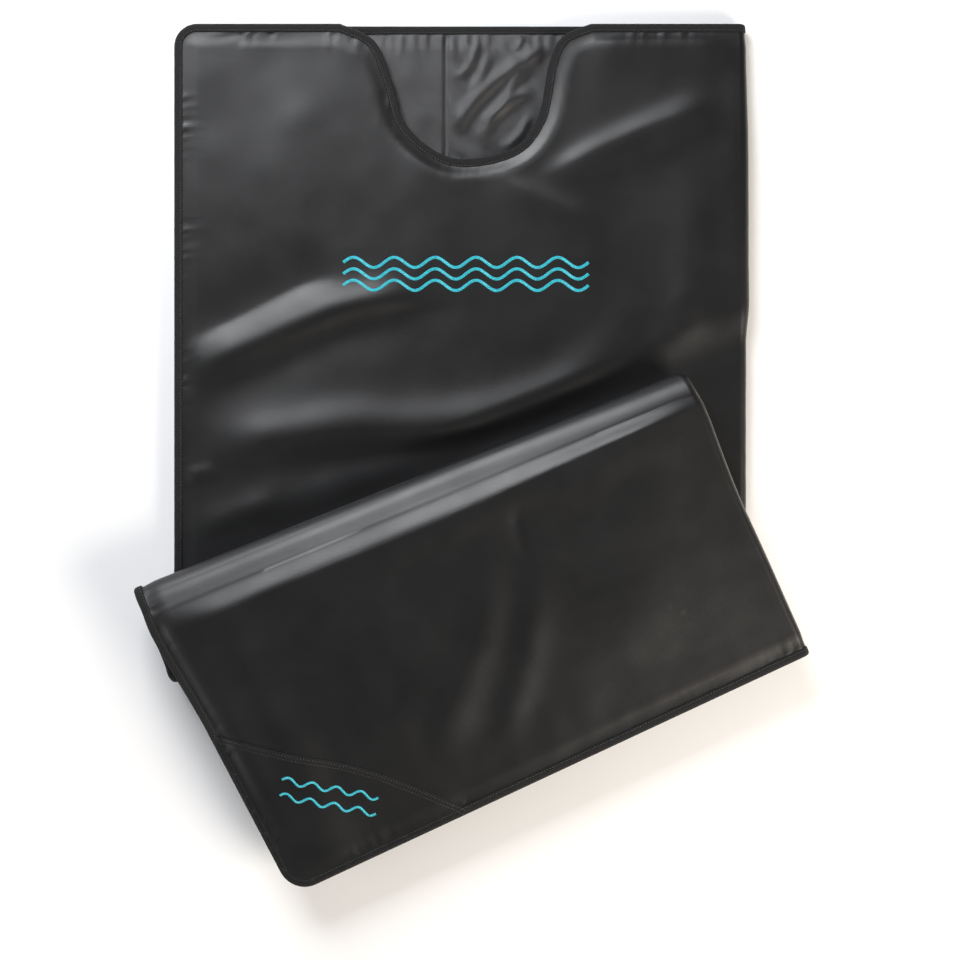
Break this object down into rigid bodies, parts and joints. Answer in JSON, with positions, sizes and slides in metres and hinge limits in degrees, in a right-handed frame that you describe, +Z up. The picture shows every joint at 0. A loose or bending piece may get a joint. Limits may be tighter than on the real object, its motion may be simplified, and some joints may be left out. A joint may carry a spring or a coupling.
{
  "type": "infrared sauna blanket",
  "caption": "Long padded heating bag, folded in three, with a neck notch, a closed spine, a hook-and-loop open side and a power inlet.",
  "frame": {"origin": "on the underside of the head section, on its middle line, 0.482 m from the neck end", "axes": "+Z up, away from the floor; +Y towards the neck end; +X towards the closed spine"},
  "size_m": [1.0335, 1.3443, 0.0979],
  "materials": {
    "pu_leather": "satin",
    "felt": "matte",
    "heater": "matte",
    "lining": "satin",
    "binding": "matte",
    "hook_loop": "matte",
    "thread": "satin",
    "inlet_plastic": "matte",
    "pin_brass": "satin",
    "cutoff": "matte",
    "lead": "matte"
  },
  "bodies": {
    "head": {"embroidery_right": "thread", "head_back_batting": "felt", "head_back_binding": "binding", "head_back_cover": "pu_leather", "head_back_heater": "heater", "head_back_lining": "lining", "head_front_batting": "felt", "head_front_binding": "binding", "head_front_cover": "pu_leather", "head_front_heater": "heater", "head_front_lining": "lining", "head_hook_tape": "hook_loop", "head_loop_tape": "hook_loop", "head_spine": "pu_leather", "lower_fold_back_roll": "pu_leather", "lower_fold_front_roll": "pu_leather"},
    "neck_corner": {"corner_hook_tape": "hook_loop", "embroidery_left": "thread", "neck_corner_batting": "felt", "neck_corner_binding": "binding", "neck_corner_cover": "pu_leather", "neck_corner_heater": "heater", "neck_corner_lining": "lining"},
    "middle": {"middle_back_batting": "felt", "middle_back_binding": "binding", "middle_back_cover": "pu_leather", "middle_back_heater": "heater", "middle_back_lining": "lining", "middle_front_batting": "felt", "middle_front_binding": "binding", "middle_front_cover": "pu_leather", "middle_front_heater": "heater", "middle_front_lining": "lining", "middle_hook_tape": "hook_loop", "middle_loop_tape": "hook_loop", "middle_spine": "pu_leather", "upper_fold_back_roll": "pu_leather", "upper_fold_front_roll": "pu_leather"},
    "foot": {"corner_patch": "pu_leather", "foot_back_batting": "felt", "foot_back_binding": "binding", "foot_back_cover": "pu_leather", "foot_back_heater": "heater", "foot_back_lining": "lining", "foot_front_batting": "felt", "foot_front_binding": "binding", "foot_front_cover": "pu_leather", "foot_front_heater": "heater", "foot_front_lining": "lining", "foot_hook_tape": "hook_loop", "foot_loop_tape": "hook_loop", "foot_spine": "pu_leather", "heater_lead": "lead", "inlet_housing": "inlet_plastic", "inlet_pin_1": "pin_brass", "inlet_pin_2": "pin_brass", "patch_embroidery": "thread", "thermal_cutoff": "cutoff"}
  },
  "joints": [
    {"name": "corner_peel", "type": "hinge", "parent": "head", "child": "neck_corner", "pos_m": [0.44, 0.452, 0.026], "axis": [0.7852, 0.6193, 0], "range_deg": [0, 115]},
    {"name": "lower_fold", "type": "hinge", "parent": "head", "child": "middle", "pos_m": [0, -0.448, 0.028], "axis": [0.9857, 0.1685, 0], "range_deg": [0, 180], "deforming": ["lower_fold_back_roll", "lower_fold_front_roll"]},
    {"name": "upper_fold", "type": "hinge", "parent": "middle", "child": "foot", "pos_m": [-0.06178, -0.27256, 0.064], "axis": [-0.9259, -0.3778, 0], "range_deg": [0, 183], "deforming": ["upper_fold_back_roll", "upper_fold_front_roll"]}
  ],
  "couplings": [
    {"joint": "upper_fold", "follows": "lower_fold", "ratio": 1.0167}
  ]
}
